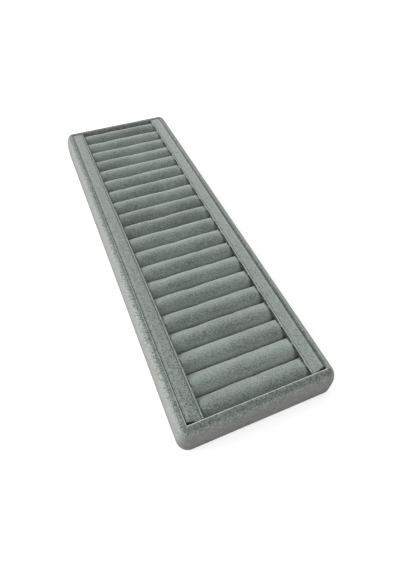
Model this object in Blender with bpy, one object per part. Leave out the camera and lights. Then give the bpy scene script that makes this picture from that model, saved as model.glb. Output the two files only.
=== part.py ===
"""Long display tray, wrapped in velvet, with a lift-out insert of padded cross rolls.

Metres, +Z up. The origin is the centre of the underside. X runs across the tray, along the rolls,
and Y runs along the tray, from roll to roll. The tray is a thin base with four mitred wall rails in a
velvet wrap. The insert is a card that carries the rolls. A velvet-covered bar along each long side and
a thin lip along its inner edge lie over the ends of the rolls and press them down.
"""
import bmesh
import bpy
import math

# Rolls
ROLL_COUNT = 20
ROLL_DIAMETER = 0.016735
ROLL_OPEN_LENGTH = 0.0772
ROLL_FLAT = 0.0010
ROLL_BEND = 0.0005
ROLL_SETBACK = 0.0005

# Side lips and bars of the insert, over the pressed ends of the rolls
LIP_THICKNESS = 0.0010
LIP_SEAM = 0.0003
BAR_WIDTH = 0.0096
BAR_HEIGHT = 0.0027
BAR_DROP = 0.0005
BAR_SETBACK = 0.0005
BAR_EDGE_RADIUS = 0.0010
GROOVE_WIDTH = 0.0007

# Walls of the tray
TRAY_HEIGHT = 0.0250
WALL_THICKNESS = 0.0073
SHOULDER_HEIGHT = 0.0140
CORNER_RADIUS = 0.0081
FOOT_RADIUS = 0.0012
HEM_WIDTH = 0.0120
INNER_CORNER_RADIUS = 0.0004

# Sheets and boards
VELVET = 0.0009
COVER_THICKNESS = 0.0006
COVER_INSET = 0.0030
BASE_THICKNESS = 0.0030
LINING_THICKNESS = 0.0006
CARD_THICKNESS = 0.0012

# Clearances: GAP between pieces that touch, INSERT_CLEARANCE round the insert in its tray
GAP = 0.0003
INSERT_CLEARANCE = 0.0005

# Facets, and how near two heights are to count as one
ROLL_SIDES = 20
FOAM_SIDES = 12
SHOULDER_STEPS = 8
FOOT_STEPS = 3
CORNER_STEPS = 3
EDGE_STEPS = 2
SMOOTH_ANGLE = math.radians(40)
SAME_HEIGHT = 0.00001

# Lengthwise: the rolls fill the insert, and the walls stand round it
ROLL_PITCH = ROLL_DIAMETER + GAP
INSERT_LENGTH = ROLL_COUNT * ROLL_PITCH - GAP
TRAY_LENGTH = INSERT_LENGTH + 2 * (INSERT_CLEARANCE + WALL_THICKNESS)

# Crosswise, from the middle outwards
LIP_INNER_X = ROLL_OPEN_LENGTH / 2
LIP_OUTER_X = LIP_INNER_X + LIP_THICKNESS
BAR_INNER_X = LIP_OUTER_X + LIP_SEAM
BAR_OUTER_X = BAR_INNER_X + BAR_WIDTH
WALL_INNER_X = BAR_OUTER_X + GROOVE_WIDTH
TRAY_WIDTH = 2 * (WALL_INNER_X + WALL_THICKNESS)
CARD_WIDTH = 2 * (WALL_INNER_X - INSERT_CLEARANCE)
ROLL_LENGTH = 2 * (BAR_OUTER_X - ROLL_SETBACK)

# Upwards, from the surface that the tray stands on
HEM_BOTTOM = COVER_THICKNESS + GAP
BASE_BOTTOM = HEM_BOTTOM + VELVET + GAP
BASE_TOP = BASE_BOTTOM + BASE_THICKNESS
FLOOR_BOTTOM = BASE_TOP + GAP
CARD_BOTTOM = FLOOR_BOTTOM + LINING_THICKNESS + GAP
INSERT_FLOOR = CARD_BOTTOM + CARD_THICKNESS + GAP
BAR_TOP = TRAY_HEIGHT - BAR_DROP
BAR_BOTTOM = BAR_TOP - BAR_HEIGHT
ROLL_RADIUS = ROLL_DIAMETER / 2
ROLL_AXIS_Z = INSERT_FLOOR + ROLL_RADIUS - ROLL_FLAT
PRESSED_TOP = BAR_BOTTOM - GAP - ROLL_AXIS_Z

# Depth below a dressed surface at which the stiff piece inside starts
CORE_DEPTH = VELVET + GAP


def clear_scene():
    """Remove every object, so that the file holds only this model."""
    for item in list(bpy.data.objects):
        bpy.data.objects.remove(item, do_unlink=True)


def make_material(name, colour, roughness):
    """A plain material with the piece's colour and roughness."""
    material = bpy.data.materials.new(name)
    material.use_nodes = True
    shader = material.node_tree.nodes["Principled BSDF"]
    shader.inputs["Base Color"].default_value = (*colour, 1.0)
    shader.inputs["Roughness"].default_value = roughness
    shader.inputs["Metallic"].default_value = 0.0
    return material


def add_object(name, mesh_data, finish, location=(0.0, 0.0, 0.0), parent=None):
    """Put a mesh into the scene as a named piece with its own material."""
    colour, roughness = finish
    mesh_data.materials.append(make_material(name, colour, roughness))
    piece = bpy.data.objects.new(name, mesh_data)
    piece.location = location
    piece.parent = parent
    bpy.context.scene.collection.objects.link(piece)
    return piece


def finish_mesh(name, shape, smooth_angle=None):
    """Turn a bmesh into a mesh with its faces outwards, smooth up to the given angle."""
    bmesh.ops.recalc_face_normals(shape, faces=shape.faces)
    mesh_data = bpy.data.meshes.new(name)
    shape.to_mesh(mesh_data)
    shape.free()
    if smooth_angle is not None:
        mesh_data.shade_smooth()
        mesh_data.set_sharp_from_angle(angle=smooth_angle)
    return mesh_data


def loft(rings, wrap_rings, cap_ends):
    """Join rings of points with faces. The rings close on themselves if wrap_rings is true."""
    shape = bmesh.new()
    rows = [[shape.verts.new(point) for point in ring] for ring in rings]
    count = len(rows[0])
    last = len(rows) if wrap_rings else len(rows) - 1
    for row in range(last):
        near = rows[row]
        far = rows[(row + 1) % len(rows)]
        for column in range(count):
            beside = (column + 1) % count
            shape.faces.new((near[column], near[beside], far[beside], far[column]))
    if cap_ends:
        shape.faces.new(rows[0])
        shape.faces.new(rows[-1])
    return shape


def arc(steps, start, end):
    """Angles from start to end, in equal steps, with both ends."""
    return [start + (end - start) * step / steps for step in range(steps + 1)]


def outline_corner(inset, quadrant, angle):
    """A point on the tray's plan, this far inside its edge, at an angle round one corner."""
    side_x, side_y = quadrant
    radius = max(CORNER_RADIUS - inset, INNER_CORNER_RADIUS)
    centre_x = TRAY_WIDTH / 2 - inset - radius
    centre_y = TRAY_LENGTH / 2 - inset - radius
    return (
        side_x * (centre_x + radius * math.cos(angle)),
        side_y * (centre_y + radius * math.sin(angle)),
    )


def plan_outline(inset):
    """The tray's rounded plan, this far inside its edge, anticlockwise."""
    points = []
    for quadrant in ((1, 1), (-1, 1), (-1, -1), (1, -1)):
        angles = arc(2 * CORNER_STEPS, 0.0, math.pi / 2)
        if quadrant[0] * quadrant[1] < 0:
            angles.reverse()
        points += [outline_corner(inset, quadrant, angle) for angle in angles]
    return points


def shoulder_profile(depth):
    """The wall's section at a depth below the dressed surface: (inset, height), from outside to inside."""
    reach = WALL_THICKNESS - depth
    rise = SHOULDER_HEIGHT - depth
    spring = TRAY_HEIGHT - SHOULDER_HEIGHT
    top_angle = math.acos(depth / reach)
    return [
        (WALL_THICKNESS - reach * math.cos(angle), spring + rise * math.sin(angle))
        for angle in arc(SHOULDER_STEPS, 0.0, top_angle)
    ]


def foot_profile(depth):
    """The wrap's turn under the tray, at a depth in the velvet: (inset, height), from the foot upwards."""
    radius = FOOT_RADIUS - depth
    return [
        (FOOT_RADIUS - radius * math.cos(angle), HEM_BOTTOM + FOOT_RADIUS - radius * math.sin(angle))
        for angle in arc(FOOT_STEPS, math.pi / 2, 0.0)
    ]


def rim_velvet():
    """The wrap over the four walls, from the hem under the base to the skirt inside the tray."""
    outer = [(HEM_WIDTH, HEM_BOTTOM)] + foot_profile(0.0) + shoulder_profile(0.0)
    outer.append((WALL_THICKNESS, FLOOR_BOTTOM))
    inner = [(HEM_WIDTH, HEM_BOTTOM + VELVET)] + foot_profile(VELVET) + shoulder_profile(VELVET)
    inner.append((WALL_THICKNESS - VELVET, FLOOR_BOTTOM))
    section = outer + inner[::-1]
    rings = [
        [(x, y, height) for x, y in plan_outline(inset)]
        for inset, height in section
    ]
    return finish_mesh("rim_velvet", loft(rings, True, False), SMOOTH_ANGLE)


def mitre_station(inset, quadrant, along_y):
    """Points round half a corner, from the straight wall to just short of the mitre."""
    radius = max(CORNER_RADIUS - inset, INNER_CORNER_RADIUS)
    shy = math.asin(GAP / 2 / radius)
    if along_y:
        angles = arc(CORNER_STEPS, 0.0, math.pi / 4 - shy)
    else:
        angles = arc(CORNER_STEPS, math.pi / 2, math.pi / 4 + shy)
    return [outline_corner(inset, quadrant, angle) for angle in angles]


def wall_rail(name, side):
    """One wall rail between two mitres. The side is (x, y), with 1 or -1 for the wall's direction."""
    side_x, side_y = side
    along_y = side_x != 0
    section = [(CORE_DEPTH, FLOOR_BOTTOM)] + shoulder_profile(CORE_DEPTH)
    section.append((WALL_THICKNESS - CORE_DEPTH, FLOOR_BOTTOM))
    first = (side_x, -1) if along_y else (-1, side_y)
    second = (side_x, 1) if along_y else (1, side_y)
    tracks = []
    for inset, height in section:
        track = mitre_station(inset, first, along_y)[::-1] + mitre_station(inset, second, along_y)
        tracks.append([(x, y, height) for x, y in track])
    stations = [list(station) for station in zip(*tracks)]
    return finish_mesh(name, loft(stations, False, True), SMOOTH_ANGLE)


def board(name, width, length, bottom, top, corner_inset=None, edge=0.0):
    """A flat board round the origin. Its plan follows the tray's corners if corner_inset is given."""
    if corner_inset is None:
        plan = [
            (width / 2, -length / 2),
            (width / 2, length / 2),
            (-width / 2, length / 2),
            (-width / 2, -length / 2),
        ]
    else:
        plan = plan_outline(corner_inset)
    rings = [[(x, y, height) for x, y in plan] for height in (bottom, top)]
    shape = loft(rings, False, True)
    mesh_data = finish_mesh(name, shape)
    if edge:
        soften_top(mesh_data, top, edge)
    return mesh_data


def lies_at(element, height):
    """Whether an edge or a face lies flat at this height."""
    return all(abs(vert.co.z - height) < SAME_HEIGHT for vert in element.verts)


def soften_top(mesh_data, top, radius):
    """Round the edges of a board's top face."""
    shape = bmesh.new()
    shape.from_mesh(mesh_data)
    edges = [edge for edge in shape.edges if lies_at(edge, top)]
    bmesh.ops.bevel(shape, geom=edges, offset=radius, segments=EDGE_STEPS, profile=0.5, affect="EDGES")
    shape.to_mesh(mesh_data)
    shape.free()


def bar_velvet(name):
    """Velvet over a bar: a shallow upturned trough with closed ends, open on the rolls."""
    length = INSERT_LENGTH - 2 * BAR_SETBACK
    mesh_data = board(name, BAR_WIDTH, length, BAR_BOTTOM, BAR_TOP, edge=BAR_EDGE_RADIUS)
    shape = bmesh.new()
    shape.from_mesh(mesh_data)
    bottom = [face for face in shape.faces if lies_at(face, BAR_BOTTOM)]
    bmesh.ops.inset_region(shape, faces=bottom, thickness=VELVET, use_even_offset=True)
    hollow = bmesh.ops.extrude_face_region(shape, geom=bottom)
    bmesh.ops.delete(shape, geom=bottom, context="FACES_ONLY")
    lifted = [item for item in hollow["geom"] if isinstance(item, bmesh.types.BMVert)]
    bmesh.ops.translate(shape, verts=lifted, vec=(0.0, 0.0, BAR_HEIGHT - VELVET))
    bmesh.ops.recalc_face_normals(shape, faces=shape.faces)
    shape.to_mesh(mesh_data)
    shape.free()
    return mesh_data


def roll_section(radius, sides, floor, top):
    """A roll's round section in Y and Z about its axis, flat below the floor and above the top."""
    corner_radius = radius / math.cos(math.pi / sides)
    points = []
    for side in range(sides):
        angle = 2 * math.pi * (side + 0.5) / sides
        height = min(max(-corner_radius * math.cos(angle), floor), top)
        points.append((corner_radius * math.sin(angle), height))
    return points


def roll_ring(x, section):
    """A roll's section, placed at a distance along the roll."""
    return [(x, y, z) for y, z in section]


def roll_rings(half, radius, sides, depth):
    """Sections along a roll, at a depth in its velvet: round between the lips, pressed flat under the bars."""
    floor = ROLL_FLAT - ROLL_RADIUS + depth
    free = roll_section(radius, sides, floor, 2 * ROLL_RADIUS)
    pressed = roll_section(radius, sides, floor, PRESSED_TOP - depth)
    flat = LIP_INNER_X - depth
    bend = flat - ROLL_BEND
    stations = ((-half, pressed), (-flat, pressed), (-bend, free), (bend, free), (flat, pressed), (half, pressed))
    return [roll_ring(x, section) for x, section in stations]


def roll_velvet():
    """A roll's velvet sleeve, open at both ends."""
    half = ROLL_LENGTH / 2
    skin = roll_rings(half, ROLL_RADIUS, ROLL_SIDES, 0.0)
    bore = roll_rings(half, ROLL_RADIUS - VELVET, ROLL_SIDES, VELVET)
    return finish_mesh("roll_velvet", loft(skin + bore[::-1], True, False), SMOOTH_ANGLE)


def roll_foam():
    """A roll's foam core, which fills the sleeve."""
    reach = (ROLL_RADIUS - CORE_DEPTH) * math.cos(math.pi / FOAM_SIDES)
    rings = roll_rings(ROLL_LENGTH / 2 - GAP, reach, FOAM_SIDES, CORE_DEPTH)
    return finish_mesh("roll_foam", loft(rings, False, True), SMOOTH_ANGLE)


def build_tray():
    """The tray: cover, base, rails, wrap and lining."""
    velvet = ((0.30, 0.34, 0.32), 0.95)
    fibre_board = ((0.42, 0.30, 0.19), 0.80)
    pine = ((0.66, 0.50, 0.32), 0.70)
    cover_paper = ((0.20, 0.22, 0.21), 0.90)
    cover = board("underside_cover", 0.0, 0.0, 0.0, COVER_THICKNESS, corner_inset=COVER_INSET)
    add_object("underside_cover", cover, cover_paper)
    base = board("base_board", 0.0, 0.0, BASE_BOTTOM, BASE_TOP, corner_inset=CORE_DEPTH)
    add_object("base_board", base, fibre_board)
    sides = (("front", (0, -1)), ("back", (0, 1)), ("left", (-1, 0)), ("right", (1, 0)))
    for label, side in sides:
        name = label + "_rail"
        add_object(name, wall_rail(name, side), pine)
    add_object("rim_velvet", rim_velvet(), velvet)
    lining_top = FLOOR_BOTTOM + LINING_THICKNESS
    lining_inset = WALL_THICKNESS + GAP
    lining_width = TRAY_WIDTH - 2 * lining_inset
    lining_length = TRAY_LENGTH - 2 * lining_inset
    lining = board("floor_lining", lining_width, lining_length, FLOOR_BOTTOM, lining_top)
    add_object("floor_lining", lining, cover_paper)


def build_insert():
    """The lift-out insert: card, lips, bars and rolls, carried by one empty."""
    velvet = ((0.36, 0.41, 0.39), 0.95)
    grey_card = ((0.33, 0.33, 0.31), 0.85)
    grey_board = ((0.45, 0.44, 0.41), 0.85)
    foam = ((0.70, 0.70, 0.66), 0.95)
    carrier = bpy.data.objects.new("insert_carrier", None)
    bpy.context.scene.collection.objects.link(carrier)
    card_top = CARD_BOTTOM + CARD_THICKNESS
    card = board("insert_card", CARD_WIDTH, INSERT_LENGTH, CARD_BOTTOM, card_top)
    add_object("insert_card", card, grey_card, parent=carrier)
    lip_x = (LIP_INNER_X + LIP_OUTER_X) / 2
    bar_x = (BAR_INNER_X + BAR_OUTER_X) / 2
    core_width = BAR_WIDTH - 2 * CORE_DEPTH
    core_length = INSERT_LENGTH - 2 * (BAR_SETBACK + CORE_DEPTH)
    for label, side in (("left", -1), ("right", 1)):
        lip = board(label + "_lip", LIP_THICKNESS, INSERT_LENGTH, BAR_BOTTOM, BAR_TOP)
        add_object(label + "_lip", lip, velvet, (side * lip_x, 0.0, 0.0), carrier)
        core = board(label + "_bar_board", core_width, core_length, BAR_BOTTOM, BAR_TOP - CORE_DEPTH)
        add_object(label + "_bar_board", core, grey_board, (side * bar_x, 0.0, 0.0), carrier)
        wrap = bar_velvet(label + "_bar_velvet")
        add_object(label + "_bar_velvet", wrap, velvet, (side * bar_x, 0.0, 0.0), carrier)
    first_y = INSERT_LENGTH / 2 - ROLL_RADIUS
    for number in range(ROLL_COUNT):
        place = (0.0, first_y - number * ROLL_PITCH, ROLL_AXIS_Z)
        add_object(f"roll_foam_{number + 1:02d}", roll_foam(), foam, place, carrier)
        add_object(f"roll_velvet_{number + 1:02d}", roll_velvet(), velvet, place, carrier)


def main():
    clear_scene()
    build_tray()
    build_insert()


main()
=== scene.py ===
"""Looks of a long velvet display tray with a lift-out insert of padded cross rolls.

Metres, in the frame of the solids: X runs across the tray, Y along it and Z up. The velvet pieces and the
foam cores are fine meshes in the places of their solids, and Blender's Cloth fills the rolls out. The
boards, rails and papers inside keep their solids and get a finish.
"""

import math
from collections import namedtuple

import bmesh
import bpy
import numpy as np
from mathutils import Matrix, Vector, noise


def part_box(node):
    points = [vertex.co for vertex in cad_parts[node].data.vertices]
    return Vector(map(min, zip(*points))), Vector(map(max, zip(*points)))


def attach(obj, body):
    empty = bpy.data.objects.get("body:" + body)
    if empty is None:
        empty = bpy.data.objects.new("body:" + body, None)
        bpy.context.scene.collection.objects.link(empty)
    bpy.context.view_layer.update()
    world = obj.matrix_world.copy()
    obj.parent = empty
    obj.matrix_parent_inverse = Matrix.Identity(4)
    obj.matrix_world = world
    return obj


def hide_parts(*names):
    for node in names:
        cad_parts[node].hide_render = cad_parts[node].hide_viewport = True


# The camera stands where the photograph was taken from
CAMERA_PLACE = (-0.07687, -0.24943, 0.26619)
CAMERA_TURN = (0.67074, -0.01044, -0.39442)
CAMERA_LENS = 25.303
SENSOR = 36.0

# Light and floor
KEY_FROM = (-0.785, 0.453, 0.423)
KEY_STRENGTH = 2.04
KEY_ANGLE = 50.0
WORLD_LIGHT = 0.66
WHITE = (1.0, 1.0, 1.0, 1.0)
FLOOR_SIZE = 6.0
FLOOR_GAP = 0.0001
FLOOR_COLOUR = (0.6, 0.6, 0.6, 1.0)
FLOOR_GLOW = 0.65

# Section of the tray's wall and of the velvet round it
WALL = 0.0073
SHOULDER = 0.0140
CORNER = 0.0081
INNER_CORNER = 0.0004
FOOT = 0.0012
HEM = 0.0120
VELVET = 0.0009
FOLD = 0.0008
FOLD_BULGE = 0.00045
FOLD_BULGE_DEPTH = 0.0040
WRAP_SWELL = 0.00014
WRAP_SWELL_SIZE = 0.0300
FOLD_STIFFNESS = 0.8
FOLD_STIFF_REACH = 0.0020

# Marks on the wrap and the bars. Places are measured across the wrap, inward from the pale line along its
# fold. A value with a level has it all round, and gains the other amounts on those sides of the tray.
# Sides turn into each other over the first length here, the near end is as long as the second, and the
# far part starts at the last, a share of the tray's half length from its middle.
SIDE_TURN = 0.0010
NEAR_END = 0.0600
FAR_START = -0.4

# The painted sheen along the fold: a pale line where the pile stands open
LINE_FROM_CREST = 0.0005
SHEEN_LINE_HALF = 0.0001
SHEEN_LINE_EDGE = 0.0005
SHEEN_LINE_SHARE = {"level": 0.9, "front": 0.1, "right": -0.9}
SHEEN_LINE_LESS_FAR = 0.8

# The brushed pile on the upper part of the shoulders, with painted light on it at the front and left, and
# the dark, ragged crown along it: pressed pile, with painted shade that differs by side
UPPER_START = -0.0100
UPPER_FULL = -0.0045
UPPER_SHARE = {"level": 1.0, "right": -0.5}
UPPER_LESS_FAR = 0.35
UPPER_PAINTED_LIGHT = {"level": 0.0, "front": 0.10, "left": 0.10}
CROWN_FULL = {"level": -0.0012, "front": -0.0014, "right": 0.0008}
CROWN_NEAR = 0.0018
CROWN_FADE = {"level": 0.0028, "front": 0.00098, "left": -0.00084, "right": -0.001736}
CROWN_END = {"level": -0.0006, "right": 0.0030}
CROWN_END_FADE = 0.0006
CROWN_SHARE = {"level": 0.80, "front": 0.10}
CROWN_LESS_FAR = 0.6
CROWN_RAGGED = 0.3

# Painted light on the round of the shoulders, and painted shade on the foot of the left wall at its far end
GLOW_LOW = 0.0070
GLOW_HIGH = 0.0140
GLOW_END = {"level": -0.0065, "right": 0.0040}
GLOW_END_FADE = 0.0035
SHOULDER_PAINTED_LIGHT = {"level": 0.0, "front": 0.08, "left": 0.32, "right": 0.46}
LOW_FAR_PAINTED_SHADE = 0.25

# The inner faces, with painted light on the back one, and painted shade in the groove beside the right bar
INNER_FACE = 0.0010
INNER_BACK_PAINTED_LIGHT = 0.18
GROOVE_SHADE_PLACE = 0.0002
GROOVE_SHADE_WIDTH = 0.0009
GROOVE_SHADE = 0.36

# Shape of the bars: soft edges, uneven sides and slanted front ends
BAR_EDGE_WIDTH = 0.0013
BAR_EDGE_DROP = 0.0010
BAR_CORNER = 0.0007
BAR_DRAW = {"left": -0.00024, "right": 0.0004}
BAR_SIDE_POWER = 6
BAR_SLANT = 0.0007
BAR_SLANT_REACH = 0.0040
BAR_WAVE = 0.00010
BAR_WAVE_SIZE = 0.0090
BAR_SWELL = 0.00012
BAR_SWELL_SIZE = 0.0110

# Marks on the bars: a painted highlight along the outer edge, a painted shadow wedge and a face in painted
# shade at the front end, and tones by side, with painted sheen rising toward the far end
BAR_HIGHLIGHT = 0.0019
BAR_HIGHLIGHT_WIDTH = 0.0005
BAR_HIGHLIGHT_SHARE = 0.45
BAR_SHADOW_WEDGE = 0.0011
BAR_SHADOW_WEDGE_END = -0.4
BAR_SHADOW_WEDGE_SOFT = 0.0002
BAR_SHADED_FRONT_DEPTH = 0.0004
BAR_SHADED_FRONT_DROP = 0.0006
BAR_TONE = {"left": 0.10, "right": 0.33}
BAR_SHEEN_RISE = {"left": 0.07, "right": 0.04}
BAR_TONE_NEAR = {"left": 0.18, "right": 0.0}

# Lips: their shape, painted sheen and painted light on their top edge, and painted shade on their side,
# dark between the rolls and lighter at the crests
LIP_EDGE = 0.00030
LIP_SHORT = 0.0003
LIP_GAP = 0.0003
LIP_LEAN = {"left": 0.00025, "right": 0.0004}
LIP_LEAN_LESS_FAR = {"left": 0.6, "right": 0.2}
LIP_WAVE = 0.00008
LIP_WAVE_SIZE = 0.0240
LIP_FAR_START = -0.3
LIP_FAR_END = 0.6
LIP_SHEEN_SHARE = {"left": 0.2, "right": 0.5}
LIP_SHEEN_SHARE_LESS_FAR = 0.7
LIP_TOP_PAINTED_LIGHT = 0.15
CREST_CLEAR_NEAR = 0.55
CREST_CLEAR_FAR = 0.85

# Shape of the rolls and of the foam in them
ROLL_COUNT = 20
ROLL_OPEN = 0.0386
ROLL_BEND = 0.0006
ROLL_BEND_SOFT = 0.0003
ROLL_SWELL = 0.00012
ROLL_SWELL_SIZE = 0.0200
ROLL_HUMP = 0.00014
ROLL_HUMP_SIZE = 0.0260
ROLL_CREASE = 0.00005
ROLL_CREASE_SIZE = 0.0050
ROLL_PUCKER = 0.00006
ROLL_PUCKER_COUNT = 13
ROLL_PUCKER_FADE = 0.0030
ROLL_SLIM = 0.00008
ROLL_REST = 0.0030
FOAM_ROUND = 0.0008

# How the Cloth fills the rolls out
FILL_GROW = 10.0
FILL_FRAMES = 16
FILL_QUALITY = 5
FILL_STIFFNESS = 2.0
FILL_PRESSURE = 6.0
FILL_SLACK = 0.008
FILL_HELD = 0.0030
FILL_CAP = 0.00022

# Marks on the rolls: each one's own tone, with painted light on its ends and painted shade in the nooks
# beside the lips.
# From the first of these two places along the tray to the second, near rolls turn into far ones.
FAR_ROLLS = (-0.06, 0.04)
OWN_TONE_NEAR = 0.25
OWN_TONE_FAR = 0.55
OWN_TONE_DRIFT = 0.26
OWN_TONE_PLACE = 0.5
END_PAINTED_LIGHT = {"left": 0.60, "right": 0.80}
END_PAINTED_LIGHT_REACH = 0.0024
NOOK_START = 0.0003
NOOK_END = 0.0013
NOOK_BELOW = 0.0008
NOOK_ABOVE = 0.0010
NOOK_SHADE_SHARE = {"left": 0.2, "right": 0.8}
NOOK_SHADE_LESS_FAR = 0.7

# Bands of painted light and shade along a roll: angle from the top and width, in degrees, and tone on near
# and far rolls
ROLL_PAINTED_BANDS = (
    (12.0, 18.0, 0.20, 0.0),
    (-26.0, 14.0, -0.09, 0.0),
    (-64.0, 15.0, 0.50, 0.26),
    (30.0, 14.0, 0.0, 0.3),
)

# Seeds of the noise
SEED_STEP = 7.31
WRAP_SEED = 1
BAR_SEED = {"left": 3, "right": 4}
LIP_SEED = {"left": 5, "right": 6}
RISE_SEED = 10
SWELL_SEED = 20
CREASE_SEED = 50
HUMP_SEED = 80
DRIFT_SEED = 110

# Fineness of the meshes
STATION = 0.0020
CORNER_STEPS = 12
SMALL_CORNER_STEPS = 3
HEM_STEPS = 5
FOOT_STEPS = 4
SIDE_STEPS = 8
SHOULDER_STEPS = 28
FOLD_STEPS = 6
BULGE_STEPS = 4
BACKING_STRIDE = 3
TROUGH_STEPS = 4
TROUGH_SIDE_STEPS = 5
BAR_EDGE_STEPS = 6
BAR_TOP_STEPS = 7
LIP_FOOT_STEPS = 3
LIP_SIDE_STEPS = 9
LIP_EDGE_STEPS = 5
ROLL_SIDES = 56
ROLL_RINGS = 44
ROLL_BEND_RINGS = 8
ROLL_END_RINGS = 3
ROLL_EDGE_STEPS = 6
BORE_RINGS = 14
FOAM_RINGS = 12
FOAM_EDGE_STEPS = 3
FOAM_END_STEPS = 4
WELD = 0.000002
TINY = 1e-12

# Velvet finishes: the colours, the size of a tuft, and how strong each unevenness and the sheen are; the
# fold colour is painted sheen.
# The upper colours and the crown are for the brushed pile on the tray's shoulders, the crown partly painted
# shade.
TRAY_VELVET = {
    "dark": (0.125, 0.129, 0.120),
    "light": (0.435, 0.442, 0.42),
    "fold": (0.62, 0.67, 0.63),
    "tuft_size": 0.0009,
    "grain": 1.1,
    "clump": 0.35,
    "streak": 0.4,
    "sheen": 0.0,
    "upper_dark": (0.115, 0.132, 0.120),
    "upper_light": (0.410, 0.452, 0.425),
    "crown": (0.05, 0.07, 0.06),
}
INSERT_VELVET = {
    "dark": (0.070, 0.090, 0.078),
    "light": (0.258, 0.305, 0.272),
    "fold": (0.36, 0.41, 0.37),
    "tuft_size": 0.0008,
    "grain": 4.5,
    "clump": 0.5,
    "streak": 0.4,
    "sheen": 0.6,
}
ROLL_VELVET = {
    "dark": (0.067, 0.092, 0.079),
    "light": (0.250, 0.308, 0.272),
    "fold": (0.36, 0.41, 0.37),
    "tuft_size": 0.0009,
    "grain": 3.1,
    "clump": 0.3,
    "streak": 0.5,
    "sheen": 0.6,
}

# What the velvets share: the noises' scales and pulls, and how strong their effects are
TUFT_SCALE = 330.0
BLOTCH_SCALE = 85.0
BRUSH_PULL = (900.0, 240.0, -700.0)
BRUSH_RELIEF = 0.6
STROKE_PULL = (660.0, 150.0, -500.0)
STROKES = 3.2
UPPER_SPECKLE = 2.0
CROWN_STROKES = 8.0
FOLD_BREAKS = 2.4
FOLD_LEVEL = 0.95
# Painted shade: how dark it makes the velvet, and how much of it gives a face the shaded finish
PAINTED_SHADE_DARKNESS = 0.5
PAINTED_SHADE_FACE = 0.5
PILE_RELIEF = 0.00025

# Plain finishes: two tones, the scale of the noise that mixes them, roughness, relief, and stretch if any
PLAIN_FINISHES = {
    # The shaded velvet finish is a dark velvet without sheen, a painted shade for faces in shadow
    "shaded_velvet_finish": ((0.022, 0.028, 0.025), (0.07, 0.085, 0.076), 900.0, 0.95, 0.0002),
    "foam_finish": ((0.50, 0.50, 0.46), (0.66, 0.66, 0.61), 1400.0, 0.95, 0.0002),
    "rail_finish": ((0.50, 0.34, 0.19), (0.70, 0.53, 0.34), 700.0, 0.7, 0.0001, (1.0, 0.06, 1.0)),
    "fibre_board_finish": ((0.30, 0.20, 0.12), (0.44, 0.31, 0.19), 1300.0, 0.8, 0.0001),
    "underside_finish": ((0.07, 0.08, 0.08), (0.13, 0.14, 0.14), 1800.0, 0.85, 0.00008),
    "lining_finish": ((0.09, 0.10, 0.10), (0.15, 0.16, 0.16), 1500.0, 0.9, 0.00008),
    "card_finish": ((0.20, 0.20, 0.19), (0.30, 0.30, 0.28), 1600.0, 0.85, 0.00006),
    "bar_board_finish": ((0.28, 0.27, 0.25), (0.40, 0.39, 0.36), 1200.0, 0.85, 0.00008),
}
COARSER = 9.0
TONE_START = 0.3
TONE_CONTRAST = 2.5

# The solids that are kept, each with its finish
NODE_FINISHES = {
    "underside_cover": "underside_finish",
    "base_board": "fibre_board_finish",
    "front_rail": "rail_finish",
    "back_rail": "rail_finish",
    "left_rail": "rail_finish",
    "right_rail": "rail_finish",
    "floor_lining": "lining_finish",
    "insert_card": "card_finish",
    "left_bar_board": "bar_board_finish",
    "right_bar_board": "bar_board_finish",
}

# The half length, radius, axis and underside of a sleeve or core
Tube = namedtuple("Tube", "half radius axis_y axis_z underside")


def climb(steps, start, end):
    """Numbers in equal steps after start, up or down to end."""
    return [start + (end - start) * step / steps for step in range(1, steps + 1)]


def arc(steps, start, end):
    """Angles in equal steps from start to end, with both."""
    return [start] + climb(steps, start, end)


def run(steps, start, end):
    """Points on a straight line after its start, to its end."""
    return list(zip(climb(steps, start[0], end[0]), climb(steps, start[1], end[1])))


def fade(value, start, end):
    """0 before start, 1 after end, with a smooth rise between."""
    share = np.clip((value - start) / (end - start), 0.0, 1.0)
    return share * share * (3.0 - 2.0 * share)


def mix(first, second, share):
    """A value this share of the way from the first to the second."""
    return first + (second - first) * share


def bell(value, middle, width):
    """1 at the middle, and less the further the value lies from it."""
    return np.exp(-(((value - middle) / width) ** 2))


def outline(half_x, half_y, corner, inset, corner_steps, least=0.0):
    """Points anticlockwise round a rectangle with rounded corners, this far inside its edge."""
    radius = min(max(corner - inset, least), half_x - inset)
    centre_x = half_x - inset - radius
    centre_y = half_y - inset - radius
    steps_x = max(2, round(2 * half_x / STATION))
    steps_y = max(2, round(2 * half_y / STATION))
    corners = []
    for quarter, (side_x, side_y) in enumerate(((1, 1), (-1, 1), (-1, -1), (1, -1))):
        corners.append([
            (side_x * centre_x + radius * math.cos(angle), side_y * centre_y + radius * math.sin(angle))
            for angle in arc(corner_steps, quarter * math.pi / 2, (quarter + 1) * math.pi / 2)
        ])
    points = []
    for quarter, steps in enumerate((steps_x, steps_y, steps_x, steps_y)):
        points += corners[quarter]
        points += run(steps, corners[quarter][-1], corners[(quarter + 1) % 4][0])[:-1]
    return points


def lengths(points):
    """How far along its line each point lies, and the whole way round last."""
    line = np.array(list(points) + [points[0]])
    return np.concatenate([[0.0], np.cumsum(np.linalg.norm(np.diff(line, axis=0), axis=1))])


def stack(half_x, half_y, corner, section, corner_steps, least=0.0):
    """A grid of points: the section's rows of (inset, height), each run round the outline."""
    rows = [
        [(x, y, height) for x, y in outline(half_x, half_y, corner, inset, corner_steps, least)]
        for inset, height in section
    ]
    return np.array(rows)


def grid_normals(points):
    """Directions square to the surface of a grid whose rows and columns close on themselves."""
    along = np.roll(points, -1, 1) - np.roll(points, 1, 1)
    across = np.roll(points, -1, 0) - np.roll(points, 1, 0)
    normals = np.cross(along, across)
    size = np.linalg.norm(normals, axis=2, keepdims=True)
    return normals / np.maximum(size, TINY)


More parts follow.
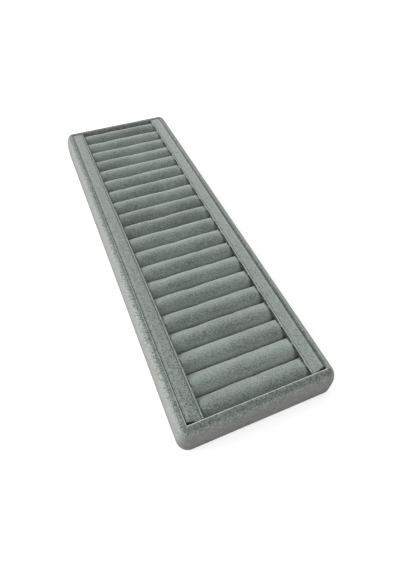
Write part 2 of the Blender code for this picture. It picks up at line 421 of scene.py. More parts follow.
def lumps(points, size, seed):
    """Smooth noise from -1 to 1 at each point of a grid, with lumps of this size."""
    places = points.reshape(-1, 3) / size + seed * SEED_STEP
    values = [noise.noise(Vector(place)) for place in places]
    return np.array(values).reshape(points.shape[:2])


def put(name, data):
    """A new object in the scene with this mesh, lamp or camera."""
    item = bpy.data.objects.new(name, data)
    bpy.context.scene.collection.objects.link(item)
    return item


def grid_mesh(name, points, close_rows):
    """A mesh through a grid of points whose columns close on themselves, and its rows where asked."""
    rows, columns = points.shape[:2]
    row = np.arange(rows if close_rows else rows - 1)[:, None]
    column = np.arange(columns)[None, :]
    above = (row + 1) % rows
    beside = (column + 1) % columns
    corners = [
        row * columns + column,
        row * columns + beside,
        above * columns + beside,
        above * columns + column,
    ]
    mesh = bpy.data.meshes.new(name)
    mesh.from_pydata(points.reshape(-1, 3).tolist(), [], np.stack(corners, -1).reshape(-1, 4).tolist())
    return mesh


def grid_object(name, points, lay, close_rows, marks):
    """A smooth piece through a grid of points, with its lay as a map and its marks as attributes."""
    mesh = grid_mesh(name, points, close_rows)
    rows, columns = points.shape[:2]
    row = np.arange(len(mesh.polygons) // columns)[:, None]
    column = np.arange(columns)[None, :]
    lay_u, lay_v = lay
    flat = np.zeros((len(row), columns, 4, 2))
    for corner, (step_row, step_column) in enumerate(((0, 0), (0, 1), (1, 1), (1, 0))):
        flat[:, :, corner, 0] = lay_u[column + step_column]
        flat[:, :, corner, 1] = lay_v[row + step_row]
    layer = mesh.uv_layers.new(name="lay")
    layer.uv.foreach_set("vector", flat.astype(np.float32).ravel())
    for mark, values in marks.items():
        attribute = mesh.attributes.new(mark, "FLOAT", "POINT")
        spread = np.broadcast_to(values, (rows, columns)).astype(np.float32)
        attribute.data.foreach_set("value", np.ascontiguousarray(spread).ravel())
    shape = bmesh.new()
    shape.from_mesh(mesh)
    bmesh.ops.remove_doubles(shape, verts=shape.verts, dist=WELD)
    bmesh.ops.recalc_face_normals(shape, faces=shape.faces)
    shape.to_mesh(mesh)
    shape.free()
    mesh.shade_smooth()
    return put(name, mesh)


class Tree:
    """The node tree of a material or world, with short ways to add what these finishes need."""

    def __init__(self, owner):
        owner.use_nodes = True
        self.owner = owner
        self.nodes = owner.node_tree.nodes
        self.links = owner.node_tree.links

    def node(self, kind, **settings):
        """A new node of this kind with these settings."""
        made = self.nodes.new(kind)
        for key, value in settings.items():
            setattr(made, key, value)
        return made

    def join(self, source, target):
        """Lead the value of one socket into another."""
        self.links.new(source, target)

    def math(self, operation, first, second, clamp=False):
        """What an operation makes of two values, each a number or a socket."""
        made = self.node("ShaderNodeMath", operation=operation, use_clamp=clamp)
        for socket, value in zip(made.inputs, (first, second)):
            if isinstance(value, float):
                socket.default_value = value
            else:
                self.join(value, socket)
        return made.outputs[0]

    def swing(self, part, size):
        """What a noise adds and takes away, this strongly."""
        return self.math("MULTIPLY", self.math("SUBTRACT", part, 0.5), size)

    def place(self):
        """Where each point of the object lies."""
        return self.node("ShaderNodeTexCoord").outputs["Object"]

    def lay(self, along, across, lean):
        """The cloth's own map in metres, pulled by factors along the piece and across it, and leant."""
        parts = self.node("ShaderNodeSeparateXYZ")
        self.join(self.node("ShaderNodeUVMap", uv_map="lay").outputs["UV"], parts.inputs[0])
        straight = self.math("MULTIPLY", parts.outputs[0], along)
        leant = self.math("ADD", straight, self.math("MULTIPLY", parts.outputs[1], lean))
        vector = self.node("ShaderNodeCombineXYZ")
        self.join(leant, vector.inputs[0])
        self.join(self.math("MULTIPLY", parts.outputs[1], across), vector.inputs[1])
        return vector.outputs[0]

    def noise(self, vector, scale, detail, roughness):
        """Noise about 0.5 with this scale."""
        made = self.node("ShaderNodeTexNoise")
        self.join(vector, made.inputs["Vector"])
        made.inputs["Scale"].default_value = scale
        made.inputs["Detail"].default_value = detail
        made.inputs["Roughness"].default_value = roughness
        return made.outputs["Fac"]

    def mark(self, name):
        """One of the piece's marks, by its name."""
        return self.node("ShaderNodeAttribute", attribute_name=name).outputs["Fac"]

    def blend(self, share, first, second):
        """A colour between two, each a colour or another node's colour."""
        made = self.node("ShaderNodeMix", data_type="RGBA")
        self.join(share, made.inputs["Factor"])
        for socket, colour in ((made.inputs[6], first), (made.inputs[7], second)):
            if isinstance(colour, tuple):
                socket.default_value = (*colour, 1.0)
            else:
                self.join(colour, socket)
        return made.outputs[2]

    def seen_directly(self):
        """1 for rays from the camera, mirrors and glass, and 0 for the rays that light the object."""
        path = self.node("ShaderNodeLightPath").outputs
        seen = self.math("ADD", path["Is Camera Ray"], path["Is Glossy Ray"], clamp=True)
        return self.math("ADD", seen, path["Is Transmission Ray"], clamp=True)

    def finish(self, colour, relief, depth, strength, **numbers):
        """The material, with this colour, this relief of this depth, and these numbers on its shader."""
        shader = self.nodes["Principled BSDF"]
        bump = self.node("ShaderNodeBump")
        bump.inputs["Strength"].default_value = strength
        bump.inputs["Distance"].default_value = depth
        self.join(relief, bump.inputs["Height"])
        self.join(bump.outputs["Normal"], shader.inputs["Normal"])
        self.join(colour, shader.inputs["Base Color"])
        for label, value in numbers.items():
            shader.inputs[label.replace("_", " ")].default_value = value
        return self.owner


def velvet(name, look):
    """Short-pile velvet: speckled pile, leaning brush streaks, and painted sheen on its folds where the
    pile stands open.
    """
    tree = Tree(bpy.data.materials.new(name))
    place = tree.place()
    pile = tree.noise(place, 1.0 / look["tuft_size"], detail=2.0, roughness=0.6)
    tuft = tree.noise(place, TUFT_SCALE, detail=2.0, roughness=0.5)
    blotch = tree.noise(place, BLOTCH_SCALE, detail=3.0, roughness=0.6)
    brush = tree.noise(tree.lay(*BRUSH_PULL), 1.0, detail=2.0, roughness=0.6)
    brushed = "upper_dark" in look
    # The shade mark holds each piece's own tone, and its painted light and shade
    tone = tree.mark("shade")
    for part, size in ((pile, "grain"), (tuft, "clump"), (blotch, "clump"), (brush, "streak")):
        tone = tree.math("ADD", tone, tree.swing(part, look[size]))
    if brushed:
        strokes = tree.noise(tree.lay(*STROKE_PULL), 1.0, detail=3.0, roughness=0.8)
        stroked = tree.math("ADD", tree.swing(strokes, STROKES), tree.swing(pile, UPPER_SPECKLE))
        tone = tree.math("ADD", tone, tree.math("MULTIPLY", stroked, tree.mark("upper")))
    tone = tree.math("ADD", tone, 0.5, clamp=True)
    colour = tree.blend(tone, look["dark"], look["light"])
    if brushed:
        upper = tree.blend(tone, look["upper_dark"], look["upper_light"])
        colour = tree.blend(tree.mark("upper"), colour, upper)
        # The crown: pressed pile, darkened partly as painted shade
        ragged = tree.math("MULTIPLY", tree.swing(strokes, CROWN_STROKES), tree.mark("crown_edge"))
        share = tree.math("ADD", tree.mark("crown"), ragged, clamp=True)
        crown_light = tuple(mix(a, b, 0.5) for a, b in zip(look["crown"], look["upper_light"]))
        colour = tree.blend(share, colour, tree.blend(tone, look["crown"], crown_light))
    broken = tree.math("ADD", tree.swing(tuft, FOLD_BREAKS), FOLD_LEVEL)
    # Painted sheen: a pale line along folds, bar edges and lip tops, broken up by the tufts
    colour = tree.blend(tree.math("MULTIPLY", tree.mark("fold"), broken, clamp=True), colour, look["fold"])
    # Painted shade: the mark darkens the colour toward half the dark tone
    colour = tree.blend(tree.mark("painted_shade"), colour, tuple(PAINTED_SHADE_DARKNESS * part for part in look["dark"]))
    relief = tree.math("ADD", pile, tree.math("MULTIPLY", brush, BRUSH_RELIEF))
    return tree.finish(
        colour,
        relief,
        PILE_RELIEF,
        strength=0.5,
        Roughness=0.95,
        Specular_IOR_Level=0.1,
        Sheen_Weight=look["sheen"],
        Sheen_Roughness=0.7,
    )


def speckled(name, first, second, scale, roughness, depth, stretch=(1.0, 1.0, 1.0)):
    """A dull board, card, paper or wood: two tones mixed by noise, with a fine relief."""
    tree = Tree(bpy.data.materials.new(name))
    mapping = tree.node("ShaderNodeMapping")
    tree.join(tree.place(), mapping.inputs["Vector"])
    mapping.inputs["Scale"].default_value = stretch
    vector = mapping.outputs["Vector"]
    fine = tree.noise(vector, scale, detail=4.0, roughness=0.65)
    coarse = tree.noise(vector, scale / COARSER, detail=2.0, roughness=0.5)
    tone = tree.math("MULTIPLY", tree.math("ADD", fine, coarse), 0.5)
    tone = tree.math("MULTIPLY", tree.math("SUBTRACT", tone, TONE_START), TONE_CONTRAST, clamp=True)
    colour = tree.blend(tone, first, second)
    return tree.finish(colour, fine, depth, strength=0.6, Roughness=roughness, Specular_IOR_Level=0.25)


def wrap_side(depth, reach, last, top, bottom):
    """The wrap's section at a depth in the velvet, as (inset, height), from hem to shoulder's end."""
    low = bottom + depth
    foot = FOOT - depth
    rise = SHOULDER - depth
    spring = top - SHOULDER
    points = [(HEM, low)] + run(HEM_STEPS, (HEM, low), (FOOT, low))
    points += [
        (FOOT - foot * math.sin(angle), low + foot - foot * math.cos(angle))
        for angle in climb(FOOT_STEPS, 0.0, math.pi / 2)
    ]
    points += run(SIDE_STEPS, (depth, low + foot), (depth, spring))
    points += [
        (depth + reach * (1.0 - math.cos(angle)), spring + rise * math.sin(angle))
        for angle in climb(SHOULDER_STEPS, 0.0, last)
    ]
    return points


def wrap_section(top, bottom, skirt):
    """The wrap's closed section, with the place of its crest and the number of its outer points."""
    face = WALL + FOLD_BULGE
    outer = wrap_side(0.0, face - FOLD, math.pi / 2, top, bottom)
    crest = len(outer) - 1
    outer += [
        (face - FOLD + FOLD * math.sin(angle), top - FOLD + FOLD * math.cos(angle))
        for angle in climb(FOLD_STEPS, 0.0, math.pi / 2)
    ]
    outer += run(BULGE_STEPS, outer[-1], (WALL, top - FOLD_BULGE_DEPTH))
    outer += run(SIDE_STEPS, outer[-1], (WALL, skirt))
    reach = WALL - VELVET
    backing = wrap_side(VELVET, reach, math.acos(VELVET / reach), top, bottom)
    backing = (backing + run(SIDE_STEPS, backing[-1], (reach, skirt)))[::BACKING_STRIDE]
    return outer + backing[::-1], crest, len(outer)


def sides(line):
    """How far each point of a line round the tray belongs to each of its sides, from 0 to 1."""
    reach_x = line[:, 0].max()
    reach_y = line[:, 1].max()
    front = fade(-line[:, 1], reach_y - SIDE_TURN, reach_y)
    back = fade(line[:, 1], reach_y - SIDE_TURN, reach_y)
    left = fade(-line[:, 0], reach_x - SIDE_TURN, reach_x) * (1.0 - front) * (1.0 - back)
    right = fade(line[:, 0], reach_x - SIDE_TURN, reach_x) * (1.0 - front) * (1.0 - back)
    return {"front": front, "left": left, "right": right, "back": back}


def by_side(shares, values):
    """A value round the tray: its level, and what it gains on each side."""
    gains = [gain * shares[side] for side, gain in values.items() if side != "level"]
    return values["level"] + sum(gains)


def wrap_marks(points, distance, seen, line, half_y):
    """The wrap's marks, by the distance from its pale line and by the side of the tray."""
    shares = sides(line)
    near = 1.0 - fade(line[:, 1], -half_y, NEAR_END - half_y)
    far = fade(line[:, 1], FAR_START * half_y, half_y)
    height = points[:, :, 2]
    # The crown: pressed pile, with painted shade that differs by side
    full = by_side(shares, CROWN_FULL) - CROWN_NEAR * shares["left"] * near
    end = by_side(shares, CROWN_END)
    crown = fade(distance, full - by_side(shares, CROWN_FADE), full) * seen
    crown = crown * (1.0 - fade(distance, end, end + CROWN_END_FADE))
    upper = fade(distance, UPPER_START, UPPER_FULL) * seen
    inner = fade(distance, 0.0, INNER_FACE)
    # Painted sheen along the fold line
    pale = 1.0 - fade(np.abs(distance), SHEEN_LINE_HALF, SHEEN_LINE_EDGE)
    glow_end = by_side(shares, GLOW_END)
    glow = fade(height, GLOW_LOW, GLOW_HIGH) * (1.0 - fade(distance, glow_end, glow_end + GLOW_END_FADE))
    low_far = (1.0 - fade(height, GLOW_LOW / 2, GLOW_HIGH)) * far * shares["left"]
    # Painted light on the shoulders, and painted shade on the far foot of the left wall
    shade = (glow * by_side(shares, SHOULDER_PAINTED_LIGHT) - LOW_FAR_PAINTED_SHADE * low_far) * seen
    # Painted light on the upper pile at the front and left
    shade = shade + by_side(shares, UPPER_PAINTED_LIGHT) * upper * (1.0 - inner)
    # Painted light on the inner face of the back wall
    shade = shade + INNER_BACK_PAINTED_LIGHT * shares["back"] * inner
    # Painted shade in the groove beside the right bar
    shade = shade - GROOVE_SHADE * shares["right"] * (1.0 - far) * bell(distance, GROOVE_SHADE_PLACE, GROOVE_SHADE_WIDTH)
    return {
        "upper": upper * by_side(shares, UPPER_SHARE) * (1.0 - UPPER_LESS_FAR * far),
        "crown": crown * by_side(shares, CROWN_SHARE) * (1.0 - CROWN_LESS_FAR * far),
        "crown_edge": fade(crown, 0.0, CROWN_RAGGED),
        "fold": pale * seen * by_side(shares, SHEEN_LINE_SHARE) * (1.0 - SHEEN_LINE_LESS_FAR * far),
        "shade": shade,
    }


def wrap():
    """The velvet over the four walls: one closed sheet, with a soft fold along the inner edge."""
    low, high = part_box("rim_velvet")
    section, crest, count = wrap_section(high.z, low.z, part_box("floor_lining")[0].z)
    points = stack(high.x, high.y, CORNER, section, CORNER_STEPS, INNER_CORNER)
    height = np.array([place[1] for place in section])
    seen = np.where((np.arange(len(section)) < count) & (height > low.z + FOOT), 1.0, 0.0)[:, None]
    across = lengths(section)
    along = lengths(outline(high.x, high.y, CORNER, 0.0, CORNER_STEPS, INNER_CORNER))
    distance = (across[:-1] - across[crest] - LINE_FROM_CREST)[:, None]
    slack = 1.0 - FOLD_STIFFNESS * fade(distance, -FOLD_STIFF_REACH, 0.0)
    swell = lumps(points, WRAP_SWELL_SIZE, WRAP_SEED) * WRAP_SWELL * slack
    points = points + grid_normals(points) * (swell * seen)[:, :, None]
    marks = wrap_marks(points, distance, seen, points[crest], high.y)
    piece = grid_object("wrap_cloth", points, (along, across), True, marks)
    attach(piece, "tray")
    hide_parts("rim_velvet")
    return piece


def bar_section(half_x, top, bottom):
    """A bar cover's section as (inset, height), and the number of its points on the trough's inside."""
    trough = top - VELVET
    inner = [(half_x, trough)] + run(TROUGH_STEPS, (half_x, trough), (VELVET, trough))
    inner += run(TROUGH_SIDE_STEPS, (VELVET, trough), (VELVET, bottom))
    outer = [(0.0, bottom)] + run(SIDE_STEPS, (0.0, bottom), (0.0, top - BAR_EDGE_DROP))
    outer += [
        (BAR_EDGE_WIDTH * (1.0 - math.cos(angle)), top - BAR_EDGE_DROP * (1.0 - math.sin(angle)))
        for angle in climb(BAR_EDGE_STEPS, 0.0, math.pi / 2)
    ]
    return inner + outer + run(BAR_TOP_STEPS, (BAR_EDGE_WIDTH, top), (half_x, top)), len(inner)


def bar(side):
    """The velvet over a side bar: a trough with soft edges, uneven along its sides."""
    name = side + "_bar_velvet"
    low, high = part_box(name)
    half_x = (high.x - low.x) / 2
    half_y = (high.y - low.y) / 2
    top = high.z
    section, inside = bar_section(half_x, top, low.z)
    points = stack(half_x, half_y, BAR_CORNER, section, SMALL_CORNER_STEPS)
    x, y, z = np.moveaxis(points.copy(), 2, 0)
    outside = (np.arange(len(section)) > inside)[:, None]
    away = -1.0 if side == "left" else 1.0
    share = away * x / half_x
    seed = BAR_SEED[side]
    edge_line = np.stack([np.sign(share), y, 0.0 * share], -1)
    wave = lumps(edge_line, BAR_WAVE_SIZE, seed) * BAR_WAVE
    push = np.where(share > 0.0, (BAR_WAVE + wave) / 2, BAR_DRAW[side] + wave)
    push *= np.clip(np.abs(share), 0.0, 1.0) ** BAR_SIDE_POWER
    slant = fade(-y, half_y - BAR_SLANT_REACH, half_y) * share * BAR_SLANT
    on_top = fade(z, top - BAR_EDGE_DROP, top)
    rise = lumps(points, BAR_SWELL_SIZE, seed + RISE_SEED) * BAR_SWELL * on_top
    points[:, :, 0] += away * push * outside + (low.x + high.x) / 2
    points[:, :, 1] += slant * outside + (low.y + high.y) / 2
    points[:, :, 2] += rise * outside
    # Painted highlight along the outer edge
    lit_edge = bell((1.0 - share) * half_x, BAR_HIGHLIGHT, BAR_HIGHLIGHT_WIDTH) * on_top
    # Painted shadow: a dark wedge at the front end, and the front face in painted shade
    from_front = y + half_y
    shadow_wedge_depth = BAR_SHADOW_WEDGE * (share - BAR_SHADOW_WEDGE_END) / (1.0 - BAR_SHADOW_WEDGE_END)
    shadow_wedge = fade(shadow_wedge_depth - from_front, -BAR_SHADOW_WEDGE_SOFT, BAR_SHADOW_WEDGE_SOFT)
    shaded_front = (from_front < BAR_SHADED_FRONT_DEPTH) * (points[:, :, 2] < top - BAR_SHADED_FRONT_DROP)
    # Tones by side, painted sheen rising toward the far end, and a darker near end on the left
    shade = BAR_TONE[side] + BAR_SHEEN_RISE[side] * fade(from_front, 0.0, half_y)
    shade = shade - BAR_TONE_NEAR[side] * (1.0 - fade(from_front, 0.0, NEAR_END))
    marks = {
        "fold": BAR_HIGHLIGHT_SHARE * lit_edge * outside,
        "painted_shade": np.maximum(shadow_wedge, shaded_front) * outside,
        "shade": shade,
    }
    across = lengths(section)
    along = lengths(outline(half_x, half_y, BAR_CORNER, 0.0, SMALL_CORNER_STEPS))
    piece = grid_object(side + "_bar_cloth", points, (along, across), False, marks)
    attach(piece, "insert")
    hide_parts(name)
    return piece


def lip_section(half_x, top, bottom):
    """A lip's section as (inset, height), from its middle below round its side to its middle above."""
    section = [(half_x, bottom)] + run(LIP_FOOT_STEPS, (half_x, bottom), (0.0, bottom))
    section += run(LIP_SIDE_STEPS, (0.0, bottom), (0.0, top - LIP_EDGE))
    section += [
        (LIP_EDGE - LIP_EDGE * math.cos(angle), top - LIP_EDGE + LIP_EDGE * math.sin(angle))
        for angle in climb(LIP_EDGE_STEPS, 0.0, math.pi / 2)
    ]
    return section + [(half_x, top)]


def lip(side):
    """A thin velvet-faced lip beside the rolls, slightly wavy, with painted sheen on its top edge and
    painted shade on its side.
    """
    name = side + "_lip"
    low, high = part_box(name)
    half_x = (high.x - low.x) / 2
    half_y = (high.y - low.y) / 2 - LIP_SHORT
    top = high.z
    section = lip_section(half_x, top, low.z)
    points = stack(half_x, half_y, LIP_EDGE, section, SMALL_CORNER_STEPS)
    centre = (low + high) / 2
    toward_rolls = np.where(points[:, :, 0] * centre.x < 0.0, 1.0, 0.0)
    line = points * (0.0, 1.0, 0.0)
    seed = LIP_SEED[side]
    rise = fade(points[:, :, 2], low.z, top)
    wave = lumps(line, LIP_WAVE_SIZE, seed) * LIP_WAVE
    far = fade(line[:, :, 1], LIP_FAR_START * half_y, LIP_FAR_END * half_y)
    lean = LIP_LEAN[side] * (1.0 - LIP_LEAN_LESS_FAR[side] * far)
    points[:, :, 0] += centre.x + (lean + wave) * rise
    points[:, :, 1] += centre.y
    points[:, :, 2] += lumps(line, LIP_WAVE_SIZE / 2, seed + RISE_SEED) * LIP_WAVE * rise
    # Painted sheen and painted light on the top edge; painted shade on the side toward the rolls, less at
    # the crests
    lit_edge = fade(points[:, :, 2], top - 2 * LIP_EDGE, top)
    first = tube("roll_velvet_01").axis_y
    pitch = (tube(f"roll_velvet_{ROLL_COUNT:02d}").axis_y - first) / (ROLL_COUNT - 1)
    crest = 0.5 + 0.5 * np.cos(2.0 * math.pi * (points[:, :, 1] - first) / pitch)
    marks = {
        "fold": LIP_SHEEN_SHARE[side] * lit_edge * (1.0 - LIP_SHEEN_SHARE_LESS_FAR * far),
        "painted_shade": (1.0 - lit_edge) * toward_rolls * (1.0 - mix(CREST_CLEAR_NEAR, CREST_CLEAR_FAR, far) * crest),
        "shade": LIP_TOP_PAINTED_LIGHT * lit_edge,
    }
    across = lengths(section)
    along = lengths(outline(half_x, half_y, LIP_EDGE, 0.0, SMALL_CORNER_STEPS))
    piece = grid_object(side + "_lip_cloth", points, (along, across), False, marks)
    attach(piece, "insert")
    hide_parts(name)
    return piece


def tube(name):
    """The measures of a roll's sleeve or core, from the box of its solid."""
    low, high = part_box(name)
    radius = (high.y - low.y) / 2
    return Tube((high.x - low.x) / 2, radius, (high.y + low.y) / 2, high.z - radius, low.z)


def turns():
    """The angle from a roll's top of each point round it. The first is at its underside."""
    return math.pi - 2.0 * math.pi * np.arange(ROLL_SIDES) / ROLL_SIDES


def girth(radius):
    """How far round a roll each point lies, and the whole way round last."""
    return np.arange(ROLL_SIDES + 1) * 2.0 * math.pi * radius / ROLL_SIDES


def tube_points(stations, solid, sleeve):
    """A grid of points round a solid's axis, from (place, radius) stations, pressed flat under the lips."""
    x = np.array([station[0] for station in stations])[:, None]
    radius = np.array([station[1] for station in stations])[:, None]
    height = radius * np.cos(turns())
    pressed = (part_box("left_lip")[0].z - LIP_GAP - solid.axis_z) * radius / sleeve
    over = height - pressed
    over = 0.5 * (over + np.sqrt(over * over + ROLL_BEND_SOFT * ROLL_BEND_SOFT))
    share = fade(np.abs(x), ROLL_OPEN - ROLL_BEND, ROLL_OPEN)
    points = np.zeros((len(stations), ROLL_SIDES, 3))
    points[:, :, 0] = x
    points[:, :, 1] = solid.axis_y + radius * np.sin(turns())
    points[:, :, 2] = np.maximum(solid.axis_z + height - over * share, solid.underside)
    return points


def roll_places(last, rings):
    """Places along a roll from end to end: sparse between the bends, and close together at them."""
    bend = ROLL_OPEN - ROLL_BEND
    middle = climb(rings, -bend, bend)
    side = [middle.pop()]
    side += climb(ROLL_BEND_RINGS, bend, ROLL_OPEN)
    side += climb(ROLL_END_RINGS, ROLL_OPEN, last)
    return [-x for x in reversed(side)] + middle + side


def filling(points, underside):
    """A large copy of a roll's skin that Cloth blows out, held at its underside and past its bends."""
    helper = put("filling", grid_mesh("filling", points * FILL_GROW, False))
    held = (points[:, :, 2] < underside + FILL_HELD) | (np.abs(points[:, :, 0]) > ROLL_OPEN - ROLL_BEND)
    group = helper.vertex_groups.new(name="held")
    group.add(np.nonzero(held.ravel())[0].tolist(), 1.0, "REPLACE")
    cloth = helper.modifiers.new("filling", "CLOTH")
    cloth.settings.quality = FILL_QUALITY
    cloth.settings.bending_stiffness = FILL_STIFFNESS
    cloth.settings.use_pressure = True
    cloth.settings.uniform_pressure_force = FILL_PRESSURE
    cloth.settings.shrink_min = -FILL_SLACK
    cloth.settings.vertex_group_mass = "held"
    cloth.settings.effector_weights.gravity = 0.0
    cloth.collision_settings.use_collision = False
    cloth.point_cache.frame_start = 1
    cloth.point_cache.frame_end = FILL_FRAMES
    return helper


def fill_out(skins, underside):
    """The rolls' skins after Blender's Cloth has filled them out, with its moves smoothed and capped."""
    scene = bpy.context.scene
    helpers = [filling(points, underside) for points in skins]
    for step in range(1, FILL_FRAMES + 1):
        scene.frame_set(step)
    graph = bpy.context.evaluated_depsgraph_get()
    filled = []
    for helper, points in zip(helpers, skins):
        places = np.zeros(points.size)
        helper.evaluated_get(graph).data.vertices.foreach_get("co", places)
        move = places.reshape(points.shape) / FILL_GROW - points
        for axis in (0, 1, 0, 1):
            move = (np.roll(move, 1, axis) + move + np.roll(move, -1, axis)) / 3
        size = np.linalg.norm(move, axis=2, keepdims=True)
        filled.append(points + move * np.minimum(1.0, FILL_CAP / np.maximum(size, TINY)))
    for helper in helpers:
        mesh = helper.data
        bpy.data.objects.remove(helper)
        bpy.data.meshes.remove(mesh)
    scene.frame_set(1)
    return filled


def roll_shape(number):
    """A sleeve's stations, the grid of points through them, and which of its rows are its outer skin."""
    solid = tube(f"roll_velvet_{number:02d}")
    half, radius = solid.half, solid.radius
    turned = VELVET / 2
    end = [
        (half - turned + turned * math.cos(angle), radius - turned + turned * math.sin(angle))
        for angle in climb(ROLL_EDGE_STEPS, math.pi / 2, -math.pi / 2)
    ]
    skin = [(x, radius) for x in roll_places(half - turned, ROLL_RINGS)]
    bore = [(x, radius - VELVET) for x in roll_places(half - 2 * turned, BORE_RINGS)][::-1]
    stations = [(-x, reach) for x, reach in reversed(end)] + skin + end + bore[1:-1]
    skin_rows = slice(len(end), len(end) + len(skin))
    points = tube_points(stations, solid, radius)
    height = points[:, :, 2]
    from_lip = np.maximum(ROLL_OPEN - np.abs(points[:, :, 0]), 0.0)
    swell = lumps(points, ROLL_SWELL_SIZE, SWELL_SEED + number) * ROLL_SWELL
    swell += lumps(points, ROLL_CREASE_SIZE, CREASE_SEED + number) * ROLL_CREASE
    upper = fade(height, solid.axis_z, solid.axis_z + radius)
    swell += lumps(points, ROLL_HUMP_SIZE, HUMP_SEED + number) * ROLL_HUMP * upper
    pucker = np.cos(ROLL_PUCKER_COUNT * turns() + number)[None, :] * np.exp(-from_lip / ROLL_PUCKER_FADE)
    swell += pucker * ROLL_PUCKER
    swell = (swell - ROLL_SLIM) * fade(height, solid.underside, solid.underside + ROLL_REST)
    swell *= fade(from_lip, 0.0, ROLL_BEND)
    swell[skin_rows.stop + len(end):] = 0.0
    return stations, points + grid_normals(points) * swell[:, :, None], skin_rows


def roll_marks(number, points, solid):
    """A sleeve's marks: its own tone, the bands of painted light and shade along it, and its painted light
    and painted shade at the lips.
    """
    x, height = points[:, :, 0], points[:, :, 2]
    side = {"left": x < 0.0, "right": x >= 0.0}
    from_lip = np.maximum(ROLL_OPEN - np.abs(x), 0.0)
    angle = np.degrees(np.arctan2(points[:, :, 1] - solid.axis_y, height - solid.axis_z))
    far = fade(solid.axis_y, *FAR_ROLLS)
    own = mix(OWN_TONE_NEAR, OWN_TONE_FAR, far)
    own *= noise.noise(Vector((number * SEED_STEP, OWN_TONE_PLACE, OWN_TONE_PLACE)))
    drift = OWN_TONE_DRIFT * lumps(points, ROLL_HUMP_SIZE, DRIFT_SEED + number)
    # Painted light and shade in bands round the roll, and painted light on the ends beside the lips
    painted_light_and_shade = sum(
        mix(near_tone, far_tone, far) * bell(angle, place, width)
        for place, width, near_tone, far_tone in ROLL_PAINTED_BANDS
    )
    painted_light_and_shade += sum(END_PAINTED_LIGHT[end] * side[end] for end in side) * np.exp(-from_lip / END_PAINTED_LIGHT_REACH)
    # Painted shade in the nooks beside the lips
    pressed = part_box("left_lip")[0].z
    nook_shade = 1.0 - fade(from_lip, NOOK_START, NOOK_END)
    nook_shade *= 1.0 - fade(height, pressed - NOOK_BELOW, pressed + NOOK_ABOVE)
    nook_shade *= sum(NOOK_SHADE_SHARE[end] * side[end] for end in side) * (1.0 - NOOK_SHADE_LESS_FAR * far)
    return {"shade": own + drift + painted_light_and_shade, "painted_shade": nook_shade}


def roll(number, stations, points):
    """A padded roll: a velvet sleeve round a foam core, with its ends pressed down under lips and bars."""
    name = f"roll_velvet_{number:02d}"
    solid = tube(name)
    lay = (girth(solid.radius), lengths(stations))
    marks = roll_marks(number, points, solid)
    piece = grid_object(f"roll_sleeve_{number:02d}", points, lay, True, marks)
    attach(piece, "insert")
    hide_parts(name)
    return piece


def rolls():
    """All the rolls, filled out together."""
    shapes = [roll_shape(number) for number in range(1, ROLL_COUNT + 1)]
    skins = [points[skin_rows] for _, points, skin_rows in shapes]
    filled = fill_out(skins, tube("roll_velvet_01").underside)
    for skin, (_, points, skin_rows) in zip(filled, shapes):
        points[skin_rows] = skin
    return [roll(number, stations, points) for number, (stations, points, _) in enumerate(shapes, 1)]


def foam(number):
    """The foam core inside a sleeve, with softly rounded ends."""
    name = f"roll_foam_{number:02d}"
    solid = tube(name)
    half, radius = solid.half, solid.radius
    rim = [
        (half - FOAM_ROUND * (1.0 - math.sin(angle)), radius - FOAM_ROUND * (1.0 - math.cos(angle)))
        for angle in arc(FOAM_EDGE_STEPS, 0.0, math.pi / 2)
    ]
    rim += run(FOAM_END_STEPS, rim[-1], (half, 0.0))
    middle = [(x, radius) for x in roll_places(rim[0][0], FOAM_RINGS)][1:-1]
    stations = [(-x, reach) for x, reach in reversed(rim)] + middle + rim
    points = tube_points(stations, solid, tube(f"roll_velvet_{number:02d}").radius)
    lay = (girth(radius), lengths(stations))
    piece = grid_object(f"roll_core_{number:02d}", points, lay, False, {})
    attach(piece, "insert")
    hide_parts(name)
    return piece


def wear(piece, material, shaded=None):
    """Give a piece this finish alone, and the faces mostly under its painted shade the shaded one, a
    painted shade.
    """
    piece.data.materials.clear()
    piece.data.materials.append(material)
    if shaded:
        piece.data.materials.append(shaded)
        painted_shade = piece.data.attributes["painted_shade"].data
        for face in piece.data.polygons:
            share = sum(painted_shade[corner].value for corner in face.vertices) / len(face.vertices)
            face.material_index = int(share > PAINTED_SHADE_FACE)


def dress():
    """Make the velvet pieces and the foam cores, and give every piece its finish."""
    plain = {name: speckled(name, *look) for name, look in PLAIN_FINISHES.items()}
    tray_velvet = velvet("tray_velvet_finish", TRAY_VELVET)
    insert_velvet = velvet("insert_velvet_finish", INSERT_VELVET)
    roll_velvet = velvet("roll_velvet_finish", ROLL_VELVET)
    wear(wrap(), tray_velvet)
    for side in ("left", "right"):
        wear(bar(side), insert_velvet, plain["shaded_velvet_finish"])
        wear(lip(side), insert_velvet, plain["shaded_velvet_finish"])
    for sleeve in rolls():
        wear(sleeve, roll_velvet)
    for number in range(1, ROLL_COUNT + 1):
        wear(foam(number), plain["foam_finish"])
    for node, finish in NODE_FINISHES.items():
        wear(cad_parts[node], plain[finish])


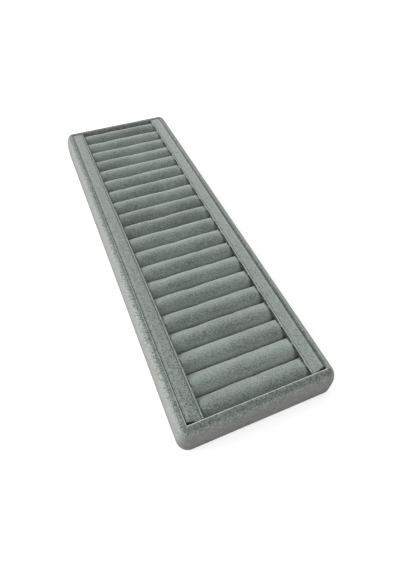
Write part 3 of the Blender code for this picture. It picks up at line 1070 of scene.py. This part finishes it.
def white_floor():
    """A white floor that keeps a faint shadow."""
    shape = bmesh.new()
    bmesh.ops.create_grid(shape, x_segments=4, y_segments=4, size=FLOOR_SIZE / 2)
    mesh = bpy.data.meshes.new("floor")
    shape.to_mesh(mesh)
    shape.free()
    piece = put("floor", mesh)
    piece.location.z = -FLOOR_GAP
    tree = Tree(bpy.data.materials.new("floor_white"))
    shader = tree.nodes["Principled BSDF"]
    shader.inputs["Base Color"].default_value = FLOOR_COLOUR
    shader.inputs["Roughness"].default_value = 1.0
    shader.inputs["Specular IOR Level"].default_value = 0.0
    shader.inputs["Emission Color"].default_value = WHITE
    glow = tree.math("MULTIPLY", tree.seen_directly(), FLOOR_GLOW)
    tree.join(glow, shader.inputs["Emission Strength"])
    wear(piece, tree.owner)


def white_world():
    """White where it is seen, and a plain soft light on the object."""
    tree = Tree(bpy.data.worlds.new("studio"))
    bpy.context.scene.world = tree.owner
    background = tree.nodes["Background"]
    background.inputs["Color"].default_value = WHITE
    strength = tree.node("ShaderNodeMapRange")
    strength.inputs["To Min"].default_value = WORLD_LIGHT
    strength.inputs["To Max"].default_value = 1.0
    tree.join(tree.seen_directly(), strength.inputs["Value"])
    tree.join(strength.outputs["Result"], background.inputs["Strength"])


def key_lamp():
    """A soft distant lamp."""
    data = bpy.data.lights.new("key", "SUN")
    data.energy = KEY_STRENGTH
    data.angle = math.radians(KEY_ANGLE)
    put("key", data).rotation_euler = Vector(KEY_FROM).to_track_quat("Z", "Y").to_euler()


def photo_camera():
    """The photograph's camera."""
    data = bpy.data.cameras.new("camera")
    data.sensor_width = SENSOR
    data.lens = CAMERA_LENS
    item = put("camera", data)
    item.location = CAMERA_PLACE
    item.rotation_euler = CAMERA_TURN
    bpy.context.scene.camera = item


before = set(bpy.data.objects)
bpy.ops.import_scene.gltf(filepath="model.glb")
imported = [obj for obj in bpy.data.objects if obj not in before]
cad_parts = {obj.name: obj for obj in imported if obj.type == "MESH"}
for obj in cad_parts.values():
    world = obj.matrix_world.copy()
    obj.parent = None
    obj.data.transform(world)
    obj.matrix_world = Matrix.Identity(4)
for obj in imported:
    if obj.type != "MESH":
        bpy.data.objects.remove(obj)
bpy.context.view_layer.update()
photo_camera()
dress()
white_floor()
white_world()
key_lamp()
bpy.context.scene.view_settings.view_transform = "Standard"
